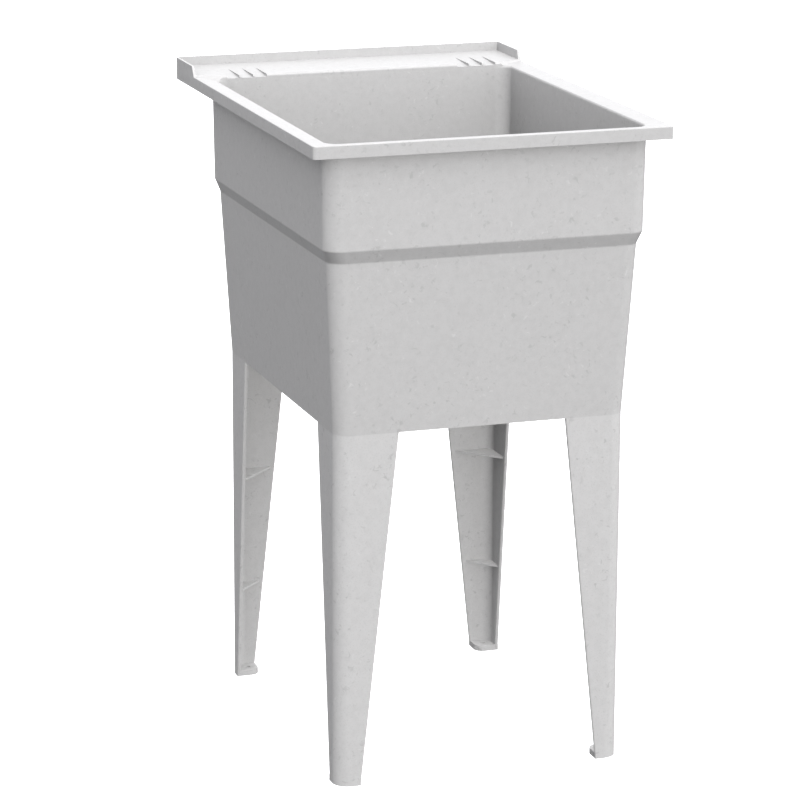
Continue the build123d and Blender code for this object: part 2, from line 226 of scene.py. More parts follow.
def round_edges(piece: Solid, chosen: EdgeTest, radius: float, steps: int) -> None:
    """Rounds the edges that a test picks by the place of their two ends.

    Args:
        piece: The solid to work on.
        chosen: Takes both ends of an edge in millimetres and says whether the edge is rounded.
        radius: How far the rounding reaches along each neighbouring face, in millimetres.
        steps: Facets across the rounding.
    """
    make_active(piece)
    bpy.ops.object.mode_set(mode="EDIT")
    bpy.ops.mesh.select_mode(type="EDGE")
    bpy.ops.mesh.select_all(action="DESELECT")
    bpy.ops.object.mode_set(mode="OBJECT")
    vertices = piece.data.vertices
    for edge in piece.data.edges:
        start, end = (vertices[index].co / MM for index in edge.vertices)
        edge.select = chosen(start, end)
    bpy.ops.object.mode_set(mode="EDIT")
    bpy.ops.mesh.bevel(offset=radius * MM, segments=steps, affect="EDGES", clamp_overlap=False)
    bpy.ops.object.mode_set(mode="OBJECT")


def slice_off(piece: Solid, through: Sequence[float], outwards: Sequence[float]) -> None:
    """Cuts a solid with a plane and closes it again.

    Args:
        piece: The solid to cut.
        through: A point of the plane, in millimetres.
        outwards: The plane's normal; what lies on that side goes.
    """
    make_active(piece)
    bpy.ops.object.mode_set(mode="EDIT")
    bpy.ops.mesh.select_all(action="SELECT")
    bpy.ops.mesh.bisect(
        plane_co=Vector(through) * MM, plane_no=Vector(outwards).normalized(), use_fill=True, clear_outer=True
    )
    bpy.ops.object.mode_set(mode="OBJECT")
    tidy_mesh(piece)


def loft(name: str, outlines: Sequence[Outline], corner: float = 0.0) -> Solid:
    """Closed solid through a stack of rectangles, drawn up by extruding a face and scaling it.

    Args:
        name: Name of the new object.
        outlines: The rectangles, from the bottom up.
        corner: Radius of the upright corners at the first rectangle.

    Returns:
        The new object.
    """
    bpy.ops.object.select_all(action="DESELECT")
    first = outlines[0]
    bpy.ops.mesh.primitive_plane_add(size=1.0, location=first.middle * MM)
    piece = name_new(name)
    piece.scale = (first.size.x * MM, first.size.y * MM, 1.0)
    bpy.ops.object.transform_apply(location=True, rotation=False, scale=True)
    bpy.ops.object.mode_set(mode="EDIT")
    bpy.ops.mesh.select_mode(type="FACE")
    bpy.ops.mesh.select_all(action="SELECT")
    if corner > 0:
        bpy.ops.mesh.bevel(offset=corner * MM, segments=CORNER_STEPS, affect="VERTICES")
    for low, high in zip(outlines, outlines[1:]):
        bpy.ops.mesh.extrude_region_move(TRANSFORM_OT_translate={"value": (high.middle - low.middle) * MM})
        factors = (high.size.x / low.size.x, high.size.y / low.size.y, 1.0)
        bpy.ops.transform.resize(value=factors, center_override=high.middle * MM)
    bpy.ops.object.mode_set(mode="OBJECT")
    tidy_mesh(piece)
    return piece


def box(name: str, xs: Span, ys: Span, zs: Span) -> Solid:
    """Square-cornered solid between two coordinates on each axis, in millimetres."""
    foot = Outline(zs[0], *xs, *ys)
    return loft(name, [foot, foot.at(zs[1])])


def turned(name: str, centre: Span, profile: Sequence[Span], facets: int = 96) -> Solid:
    """Round solid drawn up ring by ring along a profile.

    Args:
        name: Name of the new object.
        centre: Its upright axis.
        profile: Radius and height of each ring. A profile that returns to its first ring gives a hollow
            ring; any other is closed by a flat face at both ends.
        facets: Facets round the axis.

    Returns:
        The new object.
    """
    bpy.ops.object.select_all(action="DESELECT")
    hollow = profile[0] == profile[-1]
    radius, z = profile[0]
    fill = "NOTHING" if hollow else "NGON"
    x, y = centre[0] * MM, centre[1] * MM
    bpy.ops.mesh.primitive_circle_add(
        vertices=facets, radius=radius * MM, fill_type=fill, location=(x, y, z * MM)
    )
    piece = name_new(name)
    bpy.ops.object.transform_apply(location=True, rotation=False, scale=False)
    bpy.ops.object.mode_set(mode="EDIT")
    bpy.ops.mesh.select_all(action="SELECT")
    extrude = bpy.ops.mesh.extrude_edges_move if hollow else bpy.ops.mesh.extrude_region_move
    for (r0, z0), (r1, z1) in zip(profile, profile[1:]):
        extrude(TRANSFORM_OT_translate={"value": (0.0, 0.0, (z1 - z0) * MM)})
        bpy.ops.transform.resize(value=(r1 / r0, r1 / r0, 1.0), center_override=(x, y, z1 * MM))
    bpy.ops.object.mode_set(mode="OBJECT")
    tidy_mesh(piece)
    return piece


def ease(piece: Solid, width: float) -> None:
    """Breaks every sharp edge of a finished piece by a width in millimetres, and evens its shading.

    Args:
        piece: The piece.
        width: Width of the broken edges, in millimetres.
    """
    broken = {"width": width * MM, "segments": 2, "limit_method": "ANGLE", "angle_limit": BROKEN_ABOVE}
    apply_modifier(piece, "BEVEL", {**broken, "use_clamp_overlap": True})
    bpy.ops.object.shade_smooth_by_angle(angle=SMOOTH_BELOW)
    apply_modifier(piece, "WEIGHTED_NORMAL", {"mode": "FACE_AREA", "weight": 60, "keep_sharp": True})


# --- Finishes ----------------------------------------------------------------------------------------------


def linear(hex_colour: str) -> tuple[float, float, float, float]:
    """Linear colour, with full alpha, of an sRGB hex value such as "e8e6e3"."""
    parts = [int(hex_colour[index : index + 2], 16) / 255 for index in (0, 2, 4)]
    return (*(p / 12.92 if p <= 0.04045 else ((p + 0.055) / 1.055) ** 2.4 for p in parts), 1.0)


def per_metre(spacing: float) -> float:
    """Texture scale at which one cell of a pattern is this many millimetres wide."""
    return 1.0 / (spacing * MM)


def add_node(tree: bpy.types.NodeTree, kind: str, values: dict[str, object] | None = None) -> bpy.types.Node:
    """Adds one node with its settings, values and links.

    Args:
        tree: The node tree.
        kind: The node's type, without the words that all shader nodes start with.
        values: A name in small letters is a property of the node. Any other is a socket, which is linked
            to another node's output, or set to a value.

    Returns:
        The new node.
    """
    made = tree.nodes.new("ShaderNode" + kind)
    for key, value in (values or {}).items():
        if key.islower():
            setattr(made, key, value)
        elif isinstance(value, Socket):
            tree.links.new(value, made.inputs[key])
        else:
            made.inputs[key].default_value = value
    return made


def start_material(name: str) -> tuple[bpy.types.Material, bpy.types.NodeTree, Socket]:
    """An empty material, its node tree, and the Object coordinates that its patterns follow.

    Args:
        name: Name of the material.

    Returns:
        The material, its node tree and the coordinates.
    """
    material = bpy.data.materials.new(name)
    material.use_nodes = True
    tree = material.node_tree
    tree.nodes.clear()
    return material, tree, add_node(tree, "TexCoord").outputs["Object"]


def shade_by(
    tree: bpy.types.NodeTree,
    colour: Socket | tuple[float, ...],
    mark: str,
    pattern: Socket,
    span: Span,
    most: Socket | float = 1.0,
) -> Socket:
    """Turns a colour to another one where a pattern passes through a span.

    Args:
        tree: The material's node tree.
        colour: The colour so far.
        mark: The other colour, as sRGB hex.
        pattern: What decides where it lies.
        span: The pattern's values where the other colour starts and where it is full.
        most: Largest share of the other colour.

    Returns:
        The new colour.
    """
    share = add_node(
        tree, "MapRange", {"Value": pattern, "From Min": span[0], "From Max": span[1], "To Max": most}
    ).outputs["Result"]
    mixed = add_node(tree, "Mix", {"data_type": "RGBA", "Factor": share, "A": colour, "B": linear(mark)})
    return mixed.outputs["Result"]


def end_material(
    tree: bpy.types.NodeTree,
    colour: Socket,
    gloss: tuple[Socket, Span, Span],
    reliefs: Sequence[tuple[Socket, float, float]],
    others: dict[str, object],
) -> None:
    """Adds the roughness, the relief, the surface shader and the output.

    Args:
        tree: The material's node tree.
        colour: Its colour.
        gloss: The pattern that its roughness follows, that pattern's span, and the roughness at each end.
        reliefs: Height pattern, strength and depth in millimetres of each relief, the finest first.
        others: The shader's other inputs, by socket.
    """
    pattern, (start, full), (low, high) = gloss
    scale = {"From Min": start, "From Max": full, "To Min": low, "To Max": high}
    rough = add_node(tree, "MapRange", {"Value": pattern, **scale})
    inputs = {"Base Color": colour, "Roughness": rough.outputs["Result"], **others}
    for height, strength, depth in reliefs:
        below = {"Normal": inputs["Normal"]} if "Normal" in inputs else {}
        relief = {"Height": height, "Strength": strength, "Distance": depth * MM, **below}
        inputs["Normal"] = add_node(tree, "Bump", relief).outputs["Normal"]
    shader = add_node(tree, "BsdfPrincipled", inputs)
    add_node(tree, "OutputMaterial", {"Surface": shader.outputs["BSDF"]})


@dataclass(frozen=True)
class GranitePolypropylene:
    """Polypropylene moulded with granite flecks: pale and satin, with smudged flecks and a soft skin."""

    name: str
    base: str = "b8b7b6"
    cloud: str = "b3b2b1"
    dark: str = "a9a8a7"
    pale: str = "c1c0bf"
    dust: str = "afaead"
    cloud_size: float = 9.0
    cloud_span: Span = (0.40, 0.75)
    fleck_size: float = 6.5  # flecks are 1 to 4 mm smears of coloured granules, several millimetres apart
    dark_span: Span = (0.615, 0.70)
    pale_span: Span = (0.345, 0.27)
    cluster_size: float = 34.0
    cluster_span: Span = (0.36, 0.60)
    dust_spacing: float = 2.6  # real dust is about 0.6 mm apart; drawn coarser so that it shows
    dust_span: Span = (0.42, 0.12)
    dust_share: float = 0.55
    skin_grain: float = 1.1  # the mould's spark-eroded texture
    skin_span: Span = (0.3, 0.7)
    skin_relief: Span = (0.16, 0.08)  # strength, and depth in millimetres, as of every relief below
    swell: float = 90.0  # slow swell of a large moulded wall as it cools
    swell_relief: Span = (0.30, 1.2)
    roughness: Span = (0.34, 0.44)
    ior: float = 1.49

    def material(self) -> bpy.types.Material:
        """The finished material: clouds, dust, and smears that lie in loose clusters.

        Returns:
            The new material.
        """
        made, tree, place = start_material(self.name)
        patterns = (  # cell size, detail and smudging
            (self.cloud_size, 3.0, 0.0),
            (self.fleck_size, 2.0, 0.7),
            (self.cluster_size, 2.0, 0.0),
            (self.skin_grain, 2.0, 0.0),
            (self.swell, 1.0, 0.0),
        )
        cloud, smear, cluster, skin, swell = (
            add_node(
                tree,
                "TexNoise",
                {"Vector": place, "Scale": per_metre(size), "Detail": detail, "Distortion": smudge},
            ).outputs["Fac"]
            for size, detail, smudge in patterns
        )
        dust = add_node(tree, "TexVoronoi", {"Vector": place, "Scale": per_metre(self.dust_spacing)})
        start, full = self.cluster_span
        crowd = add_node(tree, "MapRange", {"Value": cluster, "From Min": start, "From Max": full})
        colour = linear(self.base)
        for mark, pattern, span, most in (
            (self.cloud, cloud, self.cloud_span, 1.0),
            (self.dust, dust.outputs["Distance"], self.dust_span, self.dust_share),
            (self.dark, smear, self.dark_span, crowd.outputs["Result"]),
            (self.pale, smear, self.pale_span, crowd.outputs["Result"]),
        ):
            colour = shade_by(tree, colour, mark, pattern, span, most)
        reliefs = ((skin, *self.skin_relief), (swell, *self.swell_relief))
        end_material(tree, colour, (skin, self.skin_span, self.roughness), reliefs, {"IOR": self.ior})
        return made


@dataclass(frozen=True)
class PlainPolypropylene:
    """Injection-moulded white polypropylene: even and waxy, with faint flow marks and small scuffs."""

    name: str
    base: str = "eceae6"
    shade: str = "dad7d1"
    flow: float = 7.0
    flow_span: Span = (0.42, 0.78)
    scuffs: float = 1.6
    scuff_span: Span = (0.3, 0.7)
    scuff_relief: Span = (0.12, 0.06)
    roughness: Span = (0.30, 0.46)
    ior: float = 1.49
    glow_through: float = 0.06
    glow_depth: float = 2.0

    def material(self) -> bpy.types.Material:
        """The finished material.

        Returns:
            The new material.
        """
        made, tree, place = start_material(self.name)
        flow = add_node(
            tree,
            "TexNoise",
            {"Vector": place, "Scale": per_metre(self.flow), "Detail": 4.0, "Distortion": 0.6},
        ).outputs["Fac"]
        scuff = add_node(
            tree, "TexNoise", {"Vector": place, "Scale": per_metre(self.scuffs), "Detail": 3.0}
        ).outputs["Fac"]
        colour = shade_by(tree, linear(self.base), self.shade, flow, self.flow_span)
        waxy = {"Subsurface Weight": self.glow_through, "Subsurface Scale": self.glow_depth * MM}
        gloss = (scuff, self.scuff_span, self.roughness)
        end_material(tree, colour, gloss, ((scuff, *self.scuff_relief),), {"IOR": self.ior, **waxy})
        return made


@dataclass(frozen=True)
class SpunStainless:
    """Pressed and spun stainless steel: bright, with fine rings round its axis and a few water stains."""

    name: str
    axis: Span
    base: str = "c9c8c5"
    stain: str = "a9a59c"
    stain_size: float = 14.0
    stain_span: Span = (0.52, 0.80)
    ring_spacing: float = 5.655  # real polishing rings are under 0.1 mm apart; drawn coarser to show
    ring_relief: Span = (0.10, 0.05)
    wave_turn: float = math.tau / 20  # spacing of the wave texture's own rings at a scale of one
    roughness: Span = (0.20, 0.33)

    def material(self) -> bpy.types.Material:
        """The finished material.

        Returns:
            The new material.
        """
        made, tree, place = start_material(self.name)
        away = (-self.axis[0] * MM, -self.axis[1] * MM, 0.0)
        centred = add_node(tree, "Mapping", {"Vector": place, "Location": away}).outputs["Vector"]
        waves = {
            "wave_type": "RINGS",
            "rings_direction": "Z",
            "Vector": centred,
            "Scale": self.wave_turn * per_metre(self.ring_spacing),
            "Distortion": 1.2,
            "Detail": 3.0,
            "Detail Scale": 2.0,
        }
        rings = add_node(tree, "TexWave", waves).outputs["Fac"]
        stains = add_node(
            tree, "TexNoise", {"Vector": place, "Scale": per_metre(self.stain_size), "Detail": 5.0}
        ).outputs["Fac"]
        colour = shade_by(tree, linear(self.base), self.stain, stains, self.stain_span)
        gloss = (rings, WHOLE, self.roughness)
        end_material(tree, colour, gloss, ((rings, *self.ring_relief),), {"Metallic": 1.0})
        return made


@dataclass(frozen=True)
class MattCompound:
    """Moulded rubber or pressed fibre: matt, with a fine grain and a paler bloom in patches."""

    name: str
    base: str
    bloom: str
    grain: float = 0.8
    roughness: float = 0.66
    bloom_patch: float = 11.0
    bloom_span: Span = (0.45, 0.80)
    gloss_span: Span = (0.3, 0.7)
    gloss_change: float = 0.07
    grain_relief: Span = (0.30, 0.10)
    ior: float = 1.52

    def material(self) -> bpy.types.Material:
        """The finished material.

        Returns:
            The new material.
        """
        made, tree, place = start_material(self.name)
        grain, patch = (
            add_node(
                tree, "TexNoise", {"Vector": place, "Scale": per_metre(size), "Detail": detail}
            ).outputs["Fac"]
            for size, detail in ((self.grain, 2.0), (self.bloom_patch, 4.0))
        )
        colour = shade_by(tree, linear(self.base), self.bloom, patch, self.bloom_span)
        gloss = (patch, self.gloss_span, around(self.roughness, self.gloss_change))
        end_material(tree, colour, gloss, ((grain, *self.grain_relief),), {"IOR": self.ior})
        return made


Finish = GranitePolypropylene | PlainPolypropylene | SpunStainless | MattCompound


def dress(piece: Solid, finish: Finish, slot: str, body: Body, *nodes: str) -> None:
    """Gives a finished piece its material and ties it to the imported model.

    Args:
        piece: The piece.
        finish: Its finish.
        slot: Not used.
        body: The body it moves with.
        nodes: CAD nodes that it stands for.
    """
    material = bpy.data.materials.get(finish.name) or finish.material()
    piece.data.materials.clear()
    piece.data.materials.append(material)
    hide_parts(*nodes)
    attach(piece, body.value)
    triangles = sum(len(face.vertices) - 2 for face in piece.data.polygons)
    log.info("%s: %d triangles, for %s", piece.name, triangles, ", ".join(nodes))


# --- The tub -----------------------------------------------------------------------------------------------


@dataclass
class Tub:
    """The moulded tub: bowl, stepped outer walls, rim, deck with soap dishes, and upstand."""

    rim: Outline
    top: float
    foot: float
    finish: GranitePolypropylene
    edge_break: float = 0.7
    upstand_rise: float = 15.0
    upstand_thickness: float = 3.0
    upstand_draft: float = 1.4
    upstand_return: float = 85.0
    upstand_ramp: float = 10.0
    skirt: float = 15.0
    plate: float = 3.5
    rim_corner: float = 5.0
    rim_edge: float = 1.3
    rim_lip: float = 1.4  # how far the rim's outer edge stands above its nominal top
    rim_fall: float = 2.6  # how far its top falls from there to the bowl
    bowl_edge: float = 3.4
    deck_rise: float = 3.0
    wall: float = 3.5
    land: float = 2.0  # plain wall left under the bowl's rounded edge and over its rounded foot
    collar_depth: float = 137.5
    step_height: float = 16.5
    collar_inset: float = 22.5
    collar_draft: float = 1.5
    step_inset: float = 6.0
    lower_draft: float = 12.0
    front_advance: float = 2.0
    deck_setback: float = 66.5
    body_corner: float = 21.0
    step_round: float = 1.3
    bowl_depth: float = 340.0
    bowl_back_gap: float = 15.5
    foot_round: float = 16.0
    floor_fall: float = 6.0
    floor_margin: float = 45.0
    sump: float = 42.0  # half the side of the square that the floor falls to
    recess: Span = (37.8, 2.4)  # radius and depth
    drain_hole: float = 24.6
    boss: Span = (41.8, 5.9)  # radius, and drop below the sump's lowest point
    groove_count: int = 3
    groove_width: float = 17.2
    groove_rib: float = 2.4
    groove_overrun: tuple[float, float, float] = (2.0, 9.0, 1.0)  # past its ends, downwards and upwards
    dish_length: float = 58.0
    dish_depth: float = 4.0
    dish_margin: float = 18.0
    rib: float = 2.5
    rib_lift: float = 4.0
    rib_pitch: float = 170.0
    cross_ribs: int = 3
    hollow_rib: float = 3.0
    floor_rib: float = 3.0
    floor_rib_depth: float = 16.0
    socket: Span = (7.3, 10.1)  # how far in both faces of the socket's inner wall are
    socket_reach: float = 80.6
    socket_end: float = 2.8
    window: tuple[float, float, float] = (48.0, 16.0, 8.0)  # place along the wall, width and height
    window_height: float = 11.0
    window_overrun: Span = (0.3, 3.0)  # past the wall's outer and inner face
    heights: dict[str, float] = field(init=False)

    def __post_init__(self) -> None:
        """Works out the heights that several features share."""
        rim_top = self.top - self.upstand_rise
        collar = rim_top - self.collar_depth
        self.heights = {
            "rim": rim_top,
            "lip": rim_top + self.rim_lip,
            "skirt": rim_top - self.skirt,
            "deck": rim_top + self.deck_rise,
            "collar": collar,
            "step": collar - self.step_height,
            "floor": rim_top - self.bowl_depth,
            "sump": rim_top - self.bowl_depth - self.floor_fall,
            "under": rim_top - self.bowl_depth - self.wall,
        }

    def wall_inset(self, z: float) -> float:
        """How far the tub's side walls stand in from the rim's edge at a height.

        Args:
            z: The height.

        Returns:
            The distance.
        """
        marks = [
            (self.foot, self.collar_inset + self.collar_draft + self.step_inset + self.lower_draft),
            (self.heights["step"], self.collar_inset + self.collar_draft + self.step_inset),
            (self.heights["collar"], self.collar_inset + self.collar_draft),
            (self.heights["skirt"], self.collar_inset),
        ]
        spans = list(zip(marks, marks[1:]))
        low, high = next((s for s in spans if z <= s[1][0]), spans[-1])
        return low[1] + (high[1] - low[1]) * (z - low[0]) / (high[0] - low[0])

    def section(self, z: float, offset: float = 0.0, back_offset: float | None = None) -> Outline:
        """The walls' rectangle at a height.

        Args:
            z: The height.
            offset: How far in from the outer face it runs.
            back_offset: The same for the back wall, where it differs.

        Returns:
            The rectangle.
        """
        inset = self.wall_inset(z)
        rear = offset if back_offset is None else back_offset
        return Outline(
            z,
            self.rim.left + inset + offset,
            self.rim.right - inset - offset,
            self.rim.front + inset - self.front_advance + offset,
            self.rim.back - inset - self.deck_setback - rear,
        )

    def inner(self, z: float) -> Outline:
        """The bowl's rectangle at a height."""
        return self.section(z, self.wall, self.wall + self.bowl_back_gap)

    def walls(
        self, name: str, low: float, high: float, offset: float = 0.0, back_offset: float | None = None
    ) -> Solid:
        """Solid that follows the walls between two heights, with the eased edges of the step.

        Args:
            name: Name of the new object.
            low: Its lower end.
            high: Its upper end.
            offset: How far in from the outer face it runs.
            back_offset: The same for the back wall, where it differs.

        Returns:
            The new object.
        """
        marks = [z for z in (self.heights["step"], self.heights["collar"]) if low < z < high]
        outlines = [self.section(z, offset, back_offset) for z in (low, *marks, high)]
        piece = loft(name, outlines, self.body_corner - offset)
        for z in marks:
            round_edges(piece, level_at(z), self.step_round, steps=3)
        return piece

    def mouth(self) -> Outline:
        """The bowl's mouth, just below its rounded edge."""
        return self.inner(self.heights["rim"] - self.bowl_edge - self.land)

    def mouth_line(self) -> float:
        """Where the bowl's back wall would meet the rim's top."""
        return self.inner(self.heights["rim"]).back

    def flared(self, name: str, below: Sequence[Outline], edge_height: float, flare: Outline) -> Solid:
        """Solid that cuts the bowl's mouth and leaves its edge rounded.

        Args:
            name: Name of the new object.
            below: What lies under the mouth, from the bottom up.
            edge_height: Height of the mouth's edge.
            flare: Outline that the face round the mouth runs out to.

        Returns:
            The new object.
        """
        mouth = self.mouth()
        outlines = [*below, mouth, mouth.at(edge_height), flare, flare.at(self.top + AIR)]
        piece = loft(name, outlines, self.body_corner - self.wall)
        near = mouth.grown(1)

        def on_mouth(a: Vector, b: Vector) -> bool:
            """True for an edge of the mouth's outline, and not of the flare's."""
            inside = (near.left < p.x < near.right and near.front < p.y < near.back for p in (a, b))
            return level_at(edge_height)(a, b) and all(inside)

        round_edges(piece, on_mouth, self.bowl_edge, steps=6)
        return piece

    def bowl_space(self) -> Solid:
        """The bowl's hollow, flared at its mouth so that the rim falls to a rounded edge.

        Returns:
            The new object.
        """
        floor = self.heights["floor"]
        marks = (self.heights["step"], self.heights["collar"])
        foot = self.inner(floor + self.foot_round + self.land)
        lip = self.heights["lip"]
        # The falling top starts just inside the rim's own rounded edge
        fall = self.rim.grown(-2 * self.rim_edge).at(lip)
        below = [foot.at(floor), foot, *(self.inner(z) for z in marks)]
        piece = self.flared("bowl_space", below, lip - self.rim_fall, fall)
        round_edges(piece, level_at(floor), self.foot_round, CORNER_STEPS)
        for z in marks:
            round_edges(piece, level_at(z), self.step_round, steps=3)
        return piece

    def deck(self) -> Solid:
        """The raised deck: its front corners slant out and lean back, and its bowl edge is rounded.

        Returns:
            The new object.
        """
        high = self.heights["deck"]
        low = high - self.bowl_edge - self.plate
        back = self.rim.back - self.upstand_thickness / 2
        side = self.rim.right - self.upstand_thickness / 2
        front, slant_end = self.mouth_line() - self.deck_rise, self.ramp_foot()
        piece = box("deck", (-side, side), (front, back), (low, high))
        mouth = self.mouth()
        run, rise = side - (mouth.right - self.body_corner / 2), slant_end - front
        for way in (1, -1):
            corner = (way * side, slant_end, self.heights["rim"])
            slice_off(piece, corner, (way * rise, -run, math.hypot(rise, run)))
        # The level top round the mouth is cut well clear of the rounded edge
        flare = mouth.grown(3 * self.bowl_edge).at(high)
        combine(piece, self.flared("deck_mouth", [mouth.at(low - AIR)], high, flare), Combine.CUT)
        return piece

    def ramp_foot(self) -> float:
        """Where the upstand's side returns have come down to the rim."""
        return self.rim.back - self.upstand_return - self.upstand_ramp

    def rim_tray(self) -> Solid:
        """Rim plate with its skirt and hollow underneath. The bowl's cut leaves its top falling inwards.

        Returns:
            The new object.
        """
        low, lip = self.heights["skirt"], self.heights["lip"]
        tray = loft("rim_tray", [self.rim.at(low), self.rim.at(lip)], self.rim_corner)
        round_edges(tray, level_at(lip), self.rim_edge, steps=4)
        inner = self.rim.grown(-self.wall)
        stack = [inner.at(low - AIR), inner.at(self.heights["rim"] - self.plate)]
        combine(tray, loft("rim_hollow", stack, self.rim_corner - self.wall), Combine.CUT)
        return tray

    def rim_ribs(self) -> list[Solid]:
        """Ribs under the rim and the deck.

        Returns:
            The new objects.
        """
        zs = (self.heights["skirt"] + self.rib_lift, self.heights["rim"] - self.plate / 2)
        reach = self.rim.grown(-self.wall / 2)
        half = self.rib / 2
        pitch = self.rim.grown(-self.wall).size.x / 4
        front = self.section(self.heights["skirt"]).front
        ribs = [box("rim_rib", around(x, half), reach.ys, zs) for x in (-pitch, 0.0, pitch)]
        for index in range(self.cross_ribs):
            y = front + self.rib_pitch * (index + 0.5)
            ribs.append(box("rim_rib", reach.xs, around(y, half), zs))
        return ribs

    def upstand(self) -> Solid:
        """Thin wall along the back with a ramped return down each side.

        Returns:
            The new object.
        """
        low = self.heights["rim"] - self.plate
        wall = loft("upstand", [self.rim.at(low), self.rim.at(self.top)], self.rim_corner)
        inner = self.rim.grown(-self.upstand_thickness).at(self.top)
        foot = inner.grown(-self.upstand_draft).at(self.heights["deck"])
        stack = [foot.at(low - AIR), foot, inner, inner.at(self.top + AIR)]
        combine(wall, loft("upstand_inside", stack, self.rim_corner - self.upstand_thickness), Combine.CUT)
        ramp = (0, -self.upstand_rise, self.upstand_ramp)
        slice_off(wall, (0, self.ramp_foot(), self.heights["rim"]), ramp)
        return wall

    def floor_falls(self, drop: float, high: float) -> Solid:
        """Shallow slopes to the sump, lowered by a drop, with some height above so that they cut cleanly.

        Args:
            drop: How far they lie below the bowl's floor.
            high: Upper end of the solid.

        Returns:
            The new object.
        """
        border = self.inner(self.heights["floor"]).grown(-self.floor_margin)
        x, y = border.middle.xy
        sump = Outline(self.heights["sump"] - drop, x, x, y, y).grown(self.sump)
        return loft("floor_falls", [sump, border.at(self.heights["floor"] - drop), border.at(high)])

    def drain_axis(self) -> Span:
        """The drain's upright axis."""
        middle = self.inner(self.heights["floor"]).middle
        return middle.x, middle.y

    def column(self, radius: float, low: float, high: float) -> Solid:
        """Round column on the drain's axis."""
        return turned("drain_column", self.drain_axis(), [(radius, low), (radius, high)])

    def underside(self) -> Solid:
        """The space inside the tub's foot, less the floor's falls, boss and ribs.

        Returns:
            The new object.
        """
        under = self.heights["under"]
        lip = self.section(self.foot, self.wall)
        stack = [lip.at(self.foot - AIR), lip, self.section(under, self.wall)]
        space = loft("underside", stack, self.body_corner - self.wall)
        boss_radius, boss_drop = self.boss
        combine(space, self.floor_falls(self.wall, self.top), Combine.CUT)
        combine(space, self.column(boss_radius, self.heights["sump"] - boss_drop, self.top), Combine.CUT)
        x, y = self.drain_axis()
        half = self.floor_rib / 2
        zs = (under - self.floor_rib_depth, self.top)
        ribs = box("floor_rib", (-self.rim.right, self.rim.right), around(y, half), zs)
        combine(ribs, box("floor_rib", around(x, half), self.rim.ys, zs), Combine.ADD)
        combine(ribs, self.column(boss_radius, self.foot - AIR, self.top + AIR), Combine.CUT)
        combine(space, ribs, Combine.CUT)
        return space

    def back_hollow(self) -> Solid:
        """The hollow between the bowl's back wall and the tub's back wall, with two ribs.

        Returns:
            The new object.
        """
        low, high = self.heights["under"] - self.wall / 2, self.heights["rim"] - self.plate
        hollow = self.walls("back_hollow", low, high, self.wall)
        kept = self.walls("bowl_skin", low - self.wall, high + self.wall, -self.wall, self.bowl_back_gap)
        combine(hollow, kept, Combine.CUT)
        third = (self.rim.right - self.collar_inset) / 3
        for x in (-third, third):
            rib = box("hollow_rib", around(x, self.hollow_rib / 2), (0.0, self.rim.back), (0.0, self.top))
            combine(hollow, rib, Combine.CUT)
        return hollow

    def dish_groove(self, x_left: float) -> Solid:
        """One groove of a soap dish, falling towards the bowl.

        Args:
            x_left: Its left side.

        Returns:
            The new object.
        """
        line, deck = self.mouth_line(), self.heights["deck"]
        front, back = line - self.bowl_edge, line + self.dish_length
        past, down, up = self.groove_overrun
        xs, ys = (x_left, x_left + self.groove_width), (front - past, back + past)
        groove = box("dish_groove", xs, ys, (deck - down, deck + up))
        slice_off(groove, (0, back, deck), (0, self.dish_depth, -(back - front)))
        return groove

    def dish_grooves(self) -> list[Solid]:
        """The grooves of both soap dishes.

        Returns:
            The new objects.
        """
        pitch = self.groove_width + self.groove_rib
        width = self.groove_count * pitch - self.groove_rib
        outer = self.section(self.heights["rim"], self.wall).right - self.dish_margin
        starts = (-outer, outer - width)
        return [self.dish_groove(start + pitch * n) for start in starts for n in range(self.groove_count)]

    def leg_sockets(self) -> Solid:
        """Inner walls of the four L-shaped leg sockets, with end walls and catch windows.

        Returns:
            The new object.
        """
        base = self.section(self.foot)
        high = self.heights["under"] + self.wall / 2
        near, far = self.socket
        outer, inner = base.grown(-near), base.grown(-far)
        sockets = loft("leg_sockets", [outer, outer.at(high)], self.body_corner - near)
        stack = [inner.at(0.0), inner.at(high + AIR)]
        combine(sockets, loft("socket_inside", stack, self.body_corner - far), Combine.CUT)
        reach = self.socket_reach
        middle, wide = base.grown(-reach), base.grown(AIR)
        for xs, ys in ((middle.xs, wide.ys), (wide.xs, middle.ys)):
            combine(sockets, box("gap", xs, ys, (0, high + AIR)), Combine.CUT)
        place, width, tall = self.window
        before, past = self.window_overrun
        depths = ((reach - self.socket_end, reach), (self.wall / 2, far), (near - before, far + past))
        wall_zs, window_zs = (self.foot, high), around(self.foot + self.window_height, tall / 2)
        for x_way, x_edge in ((1, base.left), (-1, base.right)):
            for y_way, y_edge in ((1, base.front), (-1, base.back)):
                x_end, x_wall, x_through = (inwards(x_edge, x_way, *depth) for depth in depths)
                y_end, y_wall, y_through = (inwards(y_edge, y_way, *depth) for depth in depths)
                combine(sockets, box("socket_end", x_end, y_wall, wall_zs), Combine.ADD)
                combine(sockets, box("socket_end", x_wall, y_end, wall_zs), Combine.ADD)
                x_window = around(x_edge + x_way * place, width / 2)
                y_window = around(y_edge + y_way * place, width / 2)
                combine(sockets, box("window", x_through, y_window, window_zs), Combine.CUT)
                combine(sockets, box("window", x_window, y_through, window_zs), Combine.CUT)
        return sockets

